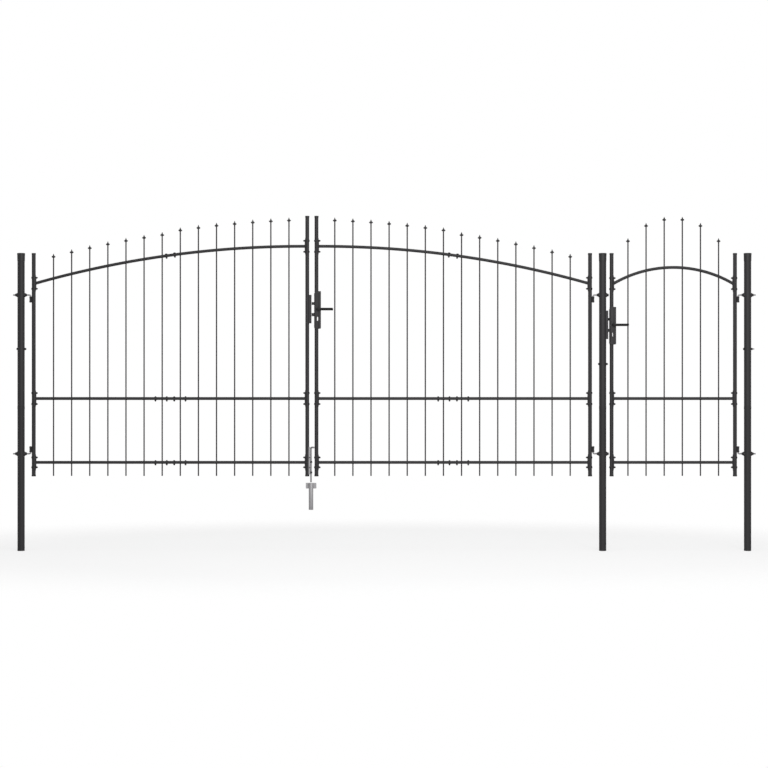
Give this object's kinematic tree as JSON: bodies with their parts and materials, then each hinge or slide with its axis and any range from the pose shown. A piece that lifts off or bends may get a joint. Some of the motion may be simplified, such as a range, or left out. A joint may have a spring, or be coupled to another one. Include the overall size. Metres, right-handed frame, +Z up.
{
  "type": "tubular steel driveway gate with walk gate",
  "caption": "Arched spear-top double driveway gate with a matching walk gate, hung on hook hinges from round posts, with lever locks, keeps, a drop bolt and a ground socket.",
  "frame": {"origin": "centre of the middle post's foot", "axes": "+X along the closed gate towards the walk gate, +Y through the gate to the side the leaves open to, +Z up"},
  "size_m": [4.99, 0.099, 2.25],
  "materials": {
    "powder_coated_steel": "anthracite powder coat, satin",
    "black_plastic": "black moulded plastic",
    "galvanised_steel": "dull zinc plating"
  },
  "bodies": {
    "posts": {"left_post_lower": "powder_coated_steel", "left_post_upper": "powder_coated_steel", "middle_post_lower": "powder_coated_steel", "middle_post_upper": "powder_coated_steel", "right_post_lower": "powder_coated_steel", "right_post_upper": "powder_coated_steel", "left_post_cap": "black_plastic", "middle_post_cap": "black_plastic", "right_post_cap": "black_plastic", "hinge_hooks": "galvanised_steel", "hook_nuts": "powder_coated_steel", "walk_keep": "powder_coated_steel", "ground_socket": "galvanised_steel"},
    "left_leaf": {"left_hinge_stile": "powder_coated_steel", "left_meeting_stile": "powder_coated_steel", "left_outer_panel": "powder_coated_steel", "left_inner_panel": "powder_coated_steel", "left_stile_caps": "black_plastic", "double_keep": "powder_coated_steel", "drop_bolt_plate": "galvanised_steel", "drop_bolt_eyes": "black_plastic"},
    "right_leaf": {"right_hinge_stile": "powder_coated_steel", "right_meeting_stile": "powder_coated_steel", "right_outer_panel": "powder_coated_steel", "right_inner_panel": "powder_coated_steel", "right_stile_caps": "black_plastic", "double_lock_case": "powder_coated_steel", "double_lock_forend": "powder_coated_steel"},
    "walk_leaf": {"walk_hinge_stile": "powder_coated_steel", "walk_lock_stile": "powder_coated_steel", "walk_panel": "powder_coated_steel", "walk_stile_caps": "black_plastic", "walk_lock_case": "powder_coated_steel", "walk_lock_forend": "powder_coated_steel"},
    "drop_bolt": {"drop_bolt": "galvanised_steel"},
    "double_lever": {"double_lever": "black_plastic"},
    "double_latch": {"double_latch": "powder_coated_steel"},
    "double_deadbolt": {"double_deadbolt": "powder_coated_steel"},
    "walk_lever": {"walk_lever": "black_plastic"},
    "walk_latch": {"walk_latch": "powder_coated_steel"},
    "walk_deadbolt": {"walk_deadbolt": "powder_coated_steel"}
  },
  "joints": [
    {"name": "left_leaf_swing", "type": "hinge", "parent": "posts", "child": "left_leaf", "pos_m": [-3.844, 0, 0.5], "axis": [0, 0, 1], "range_deg": [0, 100]},
    {"name": "right_leaf_swing", "type": "hinge", "parent": "posts", "child": "right_leaf", "pos_m": [-0.064, 0, 0.5], "axis": [0, 0, -1], "range_deg": [0, 100]},
    {"name": "walk_leaf_swing", "type": "hinge", "parent": "posts", "child": "walk_leaf", "pos_m": [0.91, 0, 0.5], "axis": [0, 0, -1], "range_deg": [0, 100]},
    {"name": "drop_bolt_slide", "type": "slide", "parent": "left_leaf", "child": "drop_bolt", "axis": [0, 0, 1], "range_m": [-0.07, 0.05]},
    {"name": "double_lever_turn", "type": "hinge", "parent": "right_leaf", "child": "double_lever", "pos_m": [-1.9158, 0, 1.624], "axis": [0, 1, 0], "range_deg": [0, 40], "stiffness_Nm_per_rad": 1, "springref_deg": -28.65},
    {"name": "double_latch_slide", "type": "slide", "parent": "right_leaf", "child": "double_latch", "axis": [1, 0, 0], "range_m": [0, 0.014]},
    {"name": "double_deadbolt_slide", "type": "slide", "parent": "right_leaf", "child": "double_deadbolt", "axis": [1, 0, 0], "range_m": [-0.012, 0.0175]},
    {"name": "walk_lever_turn", "type": "hinge", "parent": "walk_leaf", "child": "walk_lever", "pos_m": [0.0672, 0, 1.518], "axis": [0, 1, 0], "range_deg": [0, 40], "stiffness_Nm_per_rad": 1, "springref_deg": -28.65},
    {"name": "walk_latch_slide", "type": "slide", "parent": "walk_leaf", "child": "walk_latch", "axis": [1, 0, 0], "range_m": [0, 0.014]},
    {"name": "walk_deadbolt_slide", "type": "slide", "parent": "walk_leaf", "child": "walk_deadbolt", "axis": [1, 0, 0], "range_m": [-0.0085, 0.0075]}
  ],
  "couplings": [
    {"joint": "double_latch_slide", "follows": "double_lever_turn", "m_per_rad": 0.02},
    {"joint": "walk_latch_slide", "follows": "walk_lever_turn", "m_per_rad": 0.02}
  ]
}
